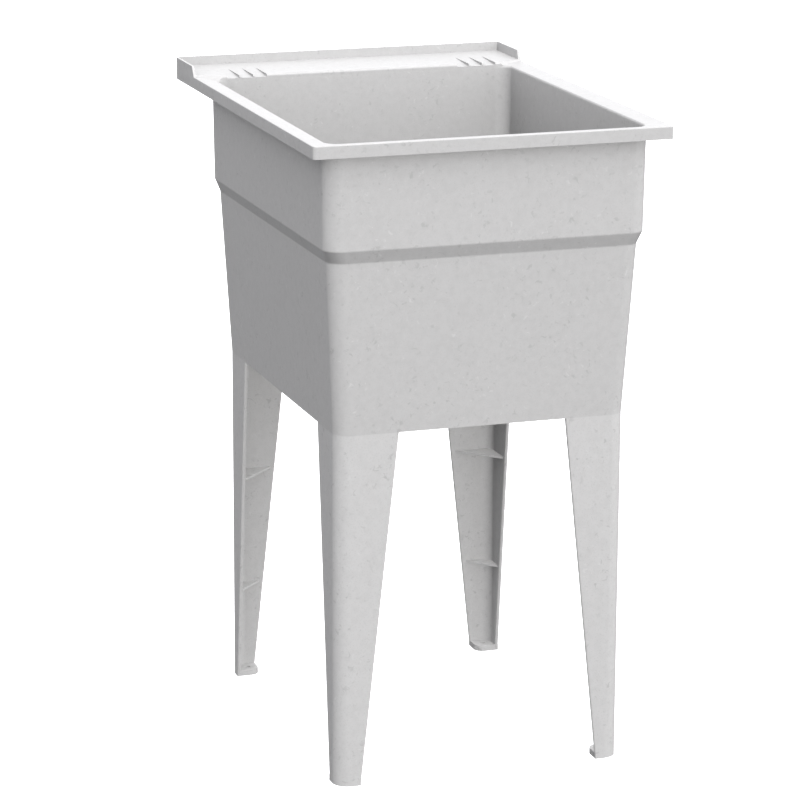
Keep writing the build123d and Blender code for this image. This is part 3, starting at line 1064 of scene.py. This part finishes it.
    def build(self) -> Solid:
        """The finished tub.

        Returns:
            The dressed piece.
        """
        tub = self.walls("tub_shell", self.foot, self.heights["rim"] - self.plate / 2)
        sump = self.heights["sump"]
        recess, recess_depth = self.recess
        steps = [(part, Combine.ADD) for part in (self.rim_tray(), *self.rim_ribs())]
        steps += [
            (self.bowl_space(), Combine.CUT),
            (self.upstand(), Combine.ADD),
            (self.deck(), Combine.ADD),
            (self.floor_falls(0.0, self.heights["floor"] + AIR), Combine.CUT),
            (self.back_hollow(), Combine.CUT),
            (self.underside(), Combine.CUT),
            (self.leg_sockets(), Combine.ADD),
            (self.column(recess, sump - recess_depth, sump + AIR), Combine.CUT),
            (self.column(self.drain_hole, sump - AIR, sump + AIR), Combine.CUT),
        ]
        steps += [(groove, Combine.CUT) for groove in self.dish_grooves()]
        for part, how in steps:
            combine(tub, part, how)
        tidy_mesh(tub)
        ease(tub, self.edge_break)
        dress(tub, self.finish, "tub_plastic", Body.SINK, "tub")
        return tub


# --- The legs ----------------------------------------------------------------------------------------------


@dataclass
class Legs:
    """Four alike L-section legs, each with gussets, a sole and a plug with two catches."""

    corners: Outline
    finish: GranitePolypropylene
    edge_break: float = 0.5
    wall: float = 5.0
    corner: float = 21.0
    flange_top: float = 83.5
    flange_foot: float = 33.0
    free_edge: float = 2.2
    gusset: float = 3.0
    gusset_heights: Span = (129.0, 295.0)
    gusset_short: float = 4.0
    sole: float = 8.0
    sole_corner: float = 12.6
    anchor: Span = (19.0, 4.0)  # place and radius of the hole
    root: tuple[float, float, float] = (2.5, 7.0, 24.0)  # outer face, inner face, drop below the leg's top
    plug: tuple[float, float, float] = (3.8, 28.0, 77.5)  # outer face, rise above the leg, length of an arm
    catch: tuple[float, float, float] = (48.0, 14.0, 6.0)  # place, width and height
    catch_rise: float = 11.0  # of its middle above the leg's top
    catch_bite: float = 1.6  # how deep it is rooted in the plug
    catch_edge: float = 0.4  # where its slope starts, out from the plug
    catch_reach: float = 8.7

    def angle(self, name: str, near: float, far: float, zs: Span, depth: float) -> Solid:
        """Upright L-section between two offsets from the leg's outer corner.

        Args:
            name: Name of the new object.
            near: Offset of its outer face.
            far: Length of each arm from the leg's corner.
            zs: Lower and upper end.
            depth: Offset of its inner face.

        Returns:
            The new object, with its corner at the origin.
        """
        bar = box(name, (near, far), (near, far), zs)
        round_edges(bar, upright_at(near), self.corner - near, CORNER_STEPS)
        inside = (depth, far + AIR)
        hollow = box("angle_hollow", inside, inside, (zs[0] - AIR, zs[1] + AIR))
        round_edges(hollow, upright_at(depth), self.corner - depth, CORNER_STEPS)
        combine(bar, hollow, Combine.CUT)
        return bar

    def flange(self, z: float) -> float:
        """Width of the flanges at a height."""
        return self.flange_foot + (self.flange_top - self.flange_foot) * z / self.corners.z

    def gusset_plate(self, z: float) -> Solid:
        """Triangular web between the flanges.

        Args:
            z: Height of its middle.

        Returns:
            The new object.
        """
        low, width = self.wall / 2, self.flange(z) - self.gusset_short
        plate = box("gusset", (low, width), (low, width), around(z, self.gusset / 2))
        round_edges(plate, upright_at(low), self.corner - low, CORNER_STEPS)
        slice_off(plate, (low, width, z), (1, 1, 0))
        return plate

    def sole_plate(self) -> Solid:
        """Closed foot with its hole for a floor anchor.

        Returns:
            The new object.
        """
        side = self.flange_foot
        plate = box("sole", (0, side), (0, side), (0, self.sole))
        round_edges(plate, upright_at(0.0), self.corner, CORNER_STEPS)
        round_edges(plate, upright_at(side), self.sole_corner, CORNER_STEPS)
        inset, radius = self.anchor
        hole = turned("anchor_hole", (inset, inset), [(radius, -AIR), (radius, AIR)], facets=32)
        combine(plate, hole, Combine.CUT)
        return plate

    def catch_block(self, along_x: bool) -> Solid:
        """One snap catch on the plug, sloped on top so that it rides in.

        Args:
            along_x: Whether it is on the arm that runs along X.

        Returns:
            The new object.
        """
        place, width, tall = self.catch
        face = self.root[1]
        span, across = around(place, width / 2), (face - self.catch_bite, self.catch_reach)
        zs = around(self.corners.z + self.catch_rise, tall / 2)
        block = box("catch", span, across, zs) if along_x else box("catch", across, span, zs)
        edge = face + self.catch_edge
        slice_off(
            block, (0, edge, zs[1]) if along_x else (edge, 0, zs[1]), (0, 2, 1) if along_x else (2, 0, 1)
        )
        return block

    def model(self) -> Solid:
        """One leg with its outer corner at the origin.

        Returns:
            The new object.
        """
        top = self.corners.z
        leg = self.angle("leg", 0.0, self.flange_top, (0.0, top), self.wall)
        lean = self.flange_top - self.flange_foot
        slice_off(leg, (self.flange_foot, 0, 0), (top, 0, -lean))
        slice_off(leg, (0, self.flange_foot, 0), (0, top, -lean))

        def free(a: Vector, b: Vector) -> bool:
            """True for the long edges of the flanges' free ends."""
            on_end = [max(abs(p.x), abs(p.y)) > self.flange(p.z) - 2 * NEAR for p in (a, b)]
            return all(on_end) and abs(a.z - b.z) > top / 2

        round_edges(leg, free, self.free_edge, steps=4)
        near, depth, drop = self.root
        plug_near, rise, length = self.plug
        for part in (
            *(self.gusset_plate(height) for height in self.gusset_heights),
            self.sole_plate(),
            self.angle("root", near, length, (top - drop, top), depth),
            self.angle("plug", plug_near, length, (top - drop / 2, top + rise), depth),
            self.catch_block(along_x=True),
            self.catch_block(along_x=False),
        ):
            combine(leg, part, Combine.ADD)
        tidy_mesh(leg)
        return leg

    def build(self) -> list[Solid]:
        """All four legs in their places.

        Returns:
            The dressed legs.
        """
        model = self.model()
        left, right, front, back = *self.corners.xs, *self.corners.ys
        places = {
            "leg_front_left": (left, front, 0),
            "leg_front_right": (right, front, 90),
            "leg_rear_right": (right, back, 180),
            "leg_rear_left": (left, back, 270),
        }
        made = []
        for node, (x, y, turn) in places.items():
            leg = model.copy()
            leg.data = model.data.copy()
            leg.name = leg.data.name = node + "_moulding"
            bpy.context.collection.objects.link(leg)
            leg.rotation_euler.z = math.radians(turn)
            leg.location = (x * MM, y * MM, 0.0)
            make_active(leg)
            bpy.ops.object.transform_apply(location=True, rotation=True, scale=False)
            ease(leg, self.edge_break)
            dress(leg, self.finish, "leg_plastic", Body.SINK, node)
            made.append(leg)
        bpy.data.objects.remove(model, do_unlink=True)
        return made


# --- The drain ---------------------------------------------------------------------------------------------


@dataclass
class Drain:
    """The drain through the sump: flanged body, gasket, washer, locknut, coupling nut and outlet tube."""

    axis: Span
    top: float
    flange_radius: float = 37.0
    flange: float = 2.4
    # In from the flange's edge and down from its top, and then out from the bore and down from the top
    flange_edge: tuple[Span, ...] = ((0.0, 1.0), (1.0, 0.2), (3.0, 0.0))
    dish: tuple[Span, ...] = ((5.0, 0.5), (2.0, 1.1), (0.4, 2.2), (0.0, 4.0))
    shank: float = 23.8
    bore: float = 21.5
    shank_length: float = 44.0
    bar: tuple[float, float, float] = (3.0, 4.0, 14.0)  # thickness, height and drop below the top
    thread_pitch: float = 2.2
    thread_depth: float = 0.7
    thread_crest: Span = (0.4, 0.6)  # shares of a turn
    thread_end: float = 1.0
    clearance: float = 0.05
    seat: float = 3.5
    gasket: Span = (34.0, 3.0)  # radius and thickness
    washer: Span = (33.0, 1.5)
    bead: Span = (2.0, 0.25)  # half its width, and its height on a thick ring
    bead_share: float = 1 / 8  # its height as a share of a thin ring
    locknut: tuple[float, float, int] = (33.0, 10.0, 6)  # radius, height and flats
    coupling: tuple[float, float, float, int] = (28.5, 21.0, 3.0, 10)  # radius, height, lip and flats
    nut_chamfer: float = 0.06  # share of a nut's radius
    tube: tuple[float, float, float] = (19.05, 1.2, 41.0)  # radius, wall and length
    tube_flange: Span = (22.8, 2.0)  # radius and thickness
    # In from the tube's outside and up from its end
    tube_end: tuple[Span, ...] = ((0.5, 0.0), (0.0, 1.5), (0.0, 6.0), (0.3, 6.5), (0.3, 7.5), (0.0, 8.0))
    steel: SpunStainless = field(init=False)
    white: PlainPolypropylene = PlainPolypropylene("moulded_white_polypropylene_nuts")
    tail: PlainPolypropylene = PlainPolypropylene(
        "extruded_white_polypropylene_tube", base="f0efec", shade="e2e0dc", flow=10.0
    )
    fibre: MattCompound = MattCompound(
        "pressed_fibre_washer", "8a6a4c", "a5886a", grain=0.7, roughness=0.78, bloom_patch=5.0
    )
    rubber: MattCompound = MattCompound("moulded_black_rubber_gasket", "242425", "3b3b3c")

    def __post_init__(self) -> None:
        """Centres the steel's rings on the drain."""
        self.steel = SpunStainless("spun_stainless_steel_drain", self.axis)

    @property
    def flange_seat(self) -> float:
        """Underside of the flange."""
        return self.top - self.flange

    @property
    def shank_end(self) -> float:
        """Lower end of the shank."""
        return self.flange_seat - self.shank_length

    def body(self) -> Solid:
        """Flanged body: dished flange, ribbed thread on the shank, and crossbars in the bore.

        Returns:
            The new object.
        """
        crest, root, pitch = self.shank, self.shank - self.thread_depth, self.thread_pitch
        first, last = self.thread_crest
        profile = [(self.bore, self.shank_end), (root, self.shank_end)]
        z = self.shank_end + pitch / 2
        while z < self.flange_seat - self.seat - 2 * pitch:
            profile += [(root, z), (crest, z + pitch * first), (crest, z + pitch * last)]
            z += pitch
        profile += [(root, z), (crest, z + self.thread_end), (crest, self.flange_seat)]
        profile.append((self.flange_radius, self.flange_seat))
        profile += [(self.flange_radius - inset, self.top - drop) for inset, drop in self.flange_edge]
        profile += [(self.bore + out, self.top - drop) for out, drop in self.dish]
        profile.append(profile[0])
        piece = turned("drain_flanged_body", self.axis, profile)
        combine(piece, self.crossbars(), Combine.ADD)
        tidy_mesh(piece)
        ease(piece, width=0.35)
        return piece

    def crossbars(self) -> Solid:
        """The two crossed bars in the bore.

        Returns:
            The new object.
        """
        thick, deep, drop = self.bar
        x, y = self.axis
        half, reach = thick / 2, (self.bore + self.shank) / 2
        zs = (self.top - drop - deep, self.top - drop)
        cross = box("crossbar", around(x, reach), around(y, half), zs)
        combine(cross, box("crossbar", around(x, half), around(y, reach), zs), Combine.ADD)
        make_active(cross)
        pivot = (x * MM, y * MM, self.top * MM)
        bpy.ops.transform.rotate(value=math.radians(45), orient_axis="Z", center_override=pivot)
        bpy.ops.object.transform_apply(location=True, rotation=True, scale=False)
        return cross

    def ring(self, name: str, radius: float, low: float, thick: float, edge: float) -> Solid:
        """Flat washer round the shank with eased edges and a shallow bead on its faces.

        Args:
            name: Name of the new object.
            radius: Its outer radius.
            low: Height of its lower face.
            thick: Its thickness.
            edge: Width of its broken edges.

        Returns:
            The new object.
        """
        hole, high = self.shank + self.clearance, low + thick
        half, most = self.bead
        rise, middle = min(most, thick * self.bead_share), (hole + radius) / 2
        first, last = around(middle, half)
        profile = [(hole, low), (first, low), (middle, low + rise), (last, low), (radius, low)]
        profile += [(radius, high), (last, high), (middle, high - rise), (first, high), (hole, high)]
        profile.append(profile[0])
        piece = turned(name, self.axis, profile)
        ease(piece, edge)
        return piece

    def nut(self, name: str, sides: int, radius: float, low: float, tall: float, hole: float) -> Solid:
        """Faceted nut with chamfered faces and a round bore.

        Args:
            name: Name of the new object.
            sides: Number of flats.
            radius: Radius over the corners.
            low: Height of its lower face.
            tall: Its height.
            hole: Radius of the bore.

        Returns:
            The new object.
        """
        chamfer = radius * self.nut_chamfer
        profile = [(radius - chamfer, low), (radius, low + chamfer)]
        profile += [(radius, low + tall - chamfer), (radius - chamfer, low + tall)]
        piece = turned(name, self.axis, profile, sides)
        bore = turned("nut_bore", self.axis, [(hole, low - AIR), (hole, low + tall + AIR)])
        combine(piece, bore, Combine.CUT)
        return piece

    def coupling_nut(self) -> Solid:
        """Faceted nut with a lip under the tube's flange.

        Returns:
            The new object.
        """
        radius, tall, lip, flats = self.coupling
        low = self.shank_end - self.tube_flange[1]
        hole, wide = self.tube[0] + self.clearance, self.shank + self.clearance
        piece = self.nut("coupling_nut_moulding", flats, radius, low - lip, tall, hole)
        combine(piece, turned("nut_bore", self.axis, [(wide, low), (wide, low + tall + AIR)]), Combine.CUT)
        ease(piece, width=0.6)
        return piece

    def outlet_tube(self) -> Solid:
        """Flanged outlet tube with an eased lower end and a shallow groove where a trap would grip it.

        Returns:
            The new object.
        """
        radius, thick, length = self.tube
        flange_radius, flange = self.tube_flange
        bore, high, end = radius - thick, self.shank_end, self.shank_end - length
        profile = [(bore, end), *((radius - inset, end + rise) for inset, rise in self.tube_end)]
        profile += [(radius, high - flange), (flange_radius, high - flange), (flange_radius, high)]
        profile += [(bore, high), (bore, end)]
        piece = turned("outlet_tube", self.axis, profile)
        ease(piece, width=0.3)
        return piece

    def build(self) -> list[Solid]:
        """All pieces of the drain.

        Returns:
            The dressed pieces.
        """
        gasket_low = self.flange_seat - self.seat - self.gasket[1]
        washer_low = gasket_low - self.washer[1]
        nut_radius, nut_height, flats = self.locknut
        body = self.body()
        gasket = self.ring("sump_gasket", self.gasket[0], gasket_low, self.gasket[1], edge=0.5)
        washer = self.ring("fibre_washer", self.washer[0], washer_low, self.washer[1], edge=0.2)
        hole = self.shank + self.clearance
        locknut = self.nut("locknut", flats, nut_radius, washer_low - nut_height, nut_height, hole)
        ease(locknut, width=0.5)
        made = (
            (body, self.steel, "drain_steel", "drain_body"),
            (gasket, self.rubber, "seal_rubber", "drain_gasket"),
            (washer, self.fibre, "washer_fibre", "friction_washer"),
            (locknut, self.white, "nut_plastic", "drain_locknut"),
            (self.coupling_nut(), self.white, "nut_plastic", "coupling_nut"),
            (self.outlet_tube(), self.tail, "tail_plastic", "tailpiece"),
        )
        for piece, finish, slot, node in made:
            dress(piece, finish, slot, Body.SINK, node)
        return [piece for piece, *_ in made]


@dataclass
class Stopper:
    """Rubber stopper: tapered plug with sealing ribs, domed cap and a grip with an eye."""

    axis: Span
    seat: float
    plug: float = 21.2
    plug_depth: float = 11.0
    # In from the plug's radius and up from its lower end: a rounded end and two sealing ribs
    ribs: tuple[Span, ...] = (
        (1.8, 0.0), (0.7, 1.2), (0.6, 3.0), (0.1, 3.6), (0.6, 4.2), (0.5, 6.0), (0.0, 6.6), (0.5, 7.2)
    )
    neck: float = 0.2  # how much slimmer the plug is under the cap
    cap: Span = (25.0, 3.0)  # radius and thickness
    cap_edge: tuple[Span, ...] = ((0.0, 0.0), (0.0, 0.9), (0.6, 1.8), (2.0, 2.4))  # in from its edge, up
    crown: Span = (0.6, 0.2)  # share of the cap's radius, and how far below its top
    crown_flat: float = 4.0
    grip: tuple[float, float, float] = (8.5, 4.2, 6.0)  # radius, the eye's radius, and thickness
    grip_root: float = 1.0
    grip_flat: float = 0.2  # what stays flat on the rounded top
    edge_break: float = 0.5
    finish: MattCompound = MattCompound(
        "moulded_grey_rubber_stopper", "3a3b3d", "55565a", grain=0.9, roughness=0.6
    )

    def build(self) -> Solid:
        """The finished stopper.

        Returns:
            The dressed piece.
        """
        low = self.seat - self.plug_depth
        radius, thick = self.cap
        share, sink = self.crown
        profile = [(self.plug - inset, low + rise) for inset, rise in self.ribs]
        profile.append((self.plug - self.neck, self.seat))
        profile += [(radius - inset, self.seat + rise) for inset, rise in self.cap_edge]
        profile += [(radius * share, self.seat + thick - sink), (self.crown_flat, self.seat + thick)]
        piece = turned("rubber_stopper", self.axis, profile)
        combine(piece, self.grip_eye(self.seat + thick), Combine.ADD)
        tidy_mesh(piece)
        ease(piece, self.edge_break)
        dress(piece, self.finish, "stopper_rubber", Body.STOPPER, "stopper")
        return piece

    def grip_eye(self, foot: float) -> Solid:
        """Upright tab with an eye for a finger or a chain.

        Args:
            foot: Height of the cap's top.

        Returns:
            The new object.
        """
        radius, hole, width = self.grip
        x, y = self.axis
        high = foot + 2 * radius
        tab = box("grip", around(x, radius), around(y, width / 2), (foot - self.grip_root, high))

        def top_edge(a: Vector, b: Vector) -> bool:
            """True for the two upper edges that run along the tab's thickness."""
            return level_at(high)(a, b) and abs(a.x - b.x) < NEAR

        round_edges(tab, top_edge, radius - self.grip_flat / 2, CORNER_STEPS)
        bpy.ops.object.select_all(action="DESELECT")
        middle = (x * MM, y * MM, (foot + radius) * MM)
        bpy.ops.mesh.primitive_cylinder_add(
            vertices=40, radius=hole * MM, depth=3 * width * MM, location=middle
        )
        eye = name_new("grip_hole")
        eye.rotation_euler.x = math.radians(90)
        bpy.ops.object.transform_apply(location=True, rotation=True, scale=False)
        combine(tab, eye, Combine.CUT)
        return tab


# --- The studio --------------------------------------------------------------------------------------------


@dataclass(frozen=True)
class Fill:
    """Even light from one side, which throws a shadow only where it has a width."""

    name: str
    strength: float
    azimuth: float  # degrees from the front, round to the right
    elevation: float
    glossy: bool = False
    width: float = 0.0  # degrees of the sky that it fills

    def build(self) -> None:
        """Sets the light up, with none of it left once it has been from wall to wall."""
        data = bpy.data.lights.new(self.name, "SUN")
        data.energy = self.strength
        data.angle = math.radians(self.width)
        data.use_shadow = self.width > 0
        data.use_nodes = True
        tree = data.node_tree
        tree.nodes.clear()
        bounces = add_node(tree, "LightPath").outputs["Diffuse Depth"]
        share = add_node(tree, "MapRange", {"Value": bounces, "To Min": 1.0, "To Max": 0.0})
        glow = add_node(tree, "Emission", {"Strength": share.outputs["Result"]})
        add_node(tree, "OutputLight", {"Surface": glow.outputs["Emission"]})
        lamp = bpy.data.objects.new(self.name, data)
        lamp.rotation_euler = (math.radians(90 - self.elevation), 0.0, math.radians(self.azimuth))
        lamp.visible_glossy = self.glossy
        bpy.context.collection.objects.link(lamp)


@dataclass
class Studio:
    """Camera, pale floor and soft light."""

    camera_place: tuple[float, float, float] = (-1484.6, -4370.7, 1625.3)
    yaw: float = 17.64
    pitch: float = 14.7
    lens: float = 158.52  # focal length on the usual 36 mm of width
    shift: Span = (0.0689, 0.0170)
    view_depth: float = 100.0
    fills: tuple[Fill, ...] = (
        Fill("front_fill", 2.60, 0.0, 43.0, glossy=True),
        Fill("soft_front", 0.60, 0.0, 48.0, width=50.0),
        Fill("right_fill", 1.25, 90.0, 0.0),
        Fill("rear_fill", 1.70, 180.0, 0.0),
    )
    sky: float = 1.34
    late_sky: float = 0.0
    sky_colour: tuple[float, float, float, float] = (0.965, 0.972, 1.0, 1.0)
    floor_radius: float = 14.0
    floor_grain: float = 3.0  # patches to a metre
    floor_roughness: Span = (0.85, 0.95)
    floor_shade: str = "5e5e5f"
    floor_pale: str = "fbfbfb"
    floor_glow: float = 0.6

    def camera(self) -> None:
        """Camera at the photograph's viewing angle."""
        data = bpy.data.cameras.new("camera")
        data.lens = self.lens
        data.shift_x, data.shift_y = self.shift
        data.clip_end = self.view_depth
        view = bpy.data.objects.new("camera", data)
        view.location = Vector(self.camera_place) * MM
        view.rotation_euler = (math.radians(90 - self.pitch), 0.0, math.radians(-self.yaw))
        bpy.context.collection.objects.link(view)
        bpy.context.scene.camera = view

    def floor(self) -> None:
        """Plain pale floor."""
        bpy.ops.object.select_all(action="DESELECT")
        bpy.ops.mesh.primitive_circle_add(vertices=64, radius=self.floor_radius, fill_type="NGON")
        floor = name_new("studio_floor")
        material, tree, place = start_material("matt_white_studio_floor")
        grain = add_node(tree, "TexNoise", {"Vector": place, "Scale": self.floor_grain, "Detail": 2.0})
        # Bounce off a white floor would wash out the shaded sides, so only the camera sees it this pale
        seen = add_node(tree, "LightPath").outputs["Is Camera Ray"]
        colour = shade_by(tree, linear(self.floor_shade), self.floor_pale, seen, WHOLE)
        glow = add_node(tree, "MapRange", {"Value": seen, "To Max": self.floor_glow}).outputs["Result"]
        gloss = (grain.outputs["Fac"], WHOLE, self.floor_roughness)
        lit = {"Emission Color": (1.0, 1.0, 1.0, 1.0), "Emission Strength": glow}
        end_material(tree, colour, gloss, (), {"Specular IOR Level": 0.0, **lit})
        floor.data.materials.append(material)
        floor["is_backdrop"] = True

    def light(self) -> None:
        """An even white sky, a strong and a soft light from the front, and weak ones for the far sides."""
        for fill in self.fills:
            fill.build()
        world = bpy.data.worlds.new("surround")
        world.use_nodes = True
        tree = world.node_tree
        tree.nodes.clear()
        # Light that has already been from wall to wall counts for less, so that the bowl stays as deep in
        # tone as the photographed one
        bounces = add_node(tree, "LightPath").outputs["Diffuse Depth"]
        scale = {"From Min": 1.0, "From Max": 2.0, "To Min": self.sky, "To Max": self.late_sky}
        strength = add_node(tree, "MapRange", {"Value": bounces, **scale}).outputs["Result"]
        sky = add_node(tree, "Background", {"Color": self.sky_colour, "Strength": strength})
        add_node(tree, "OutputWorld", {"Surface": sky.outputs["Background"]})
        bpy.context.scene.world = world
        bpy.context.scene.view_settings.view_transform = "Standard"

    def build(self) -> None:
        """The whole studio."""
        self.camera()
        self.floor()
        self.light()


def node_box(node: str) -> tuple[Vector, Vector]:
    """Lowest and highest corner of a CAD node in millimetres."""
    low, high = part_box(node)
    return low / MM, high / MM


def main() -> None:
    """Builds the studio and the sink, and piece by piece."""
    logging.basicConfig(level=logging.INFO, format="%(name)s: %(message)s")
    Studio().build()
    low, high = node_box("tub")
    rim = Outline(high.z, low.x, high.x, low.y, high.y)
    tub = Tub(rim, high.z, low.z, GranitePolypropylene("moulded_granite_polypropylene_tub"))
    tub.build()
    legs_name = "moulded_granite_polypropylene_legs"
    Legs(tub.section(low.z), replace(tub.finish, name=legs_name, base="bcbbba", cloud="b7b6b5")).build()
    drain_top = node_box("drain_body")[1].z
    Drain(tub.drain_axis(), drain_top).build()
    Stopper(tub.drain_axis(), drain_top).build()
    low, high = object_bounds()


if __name__ == "__main__":
    main()
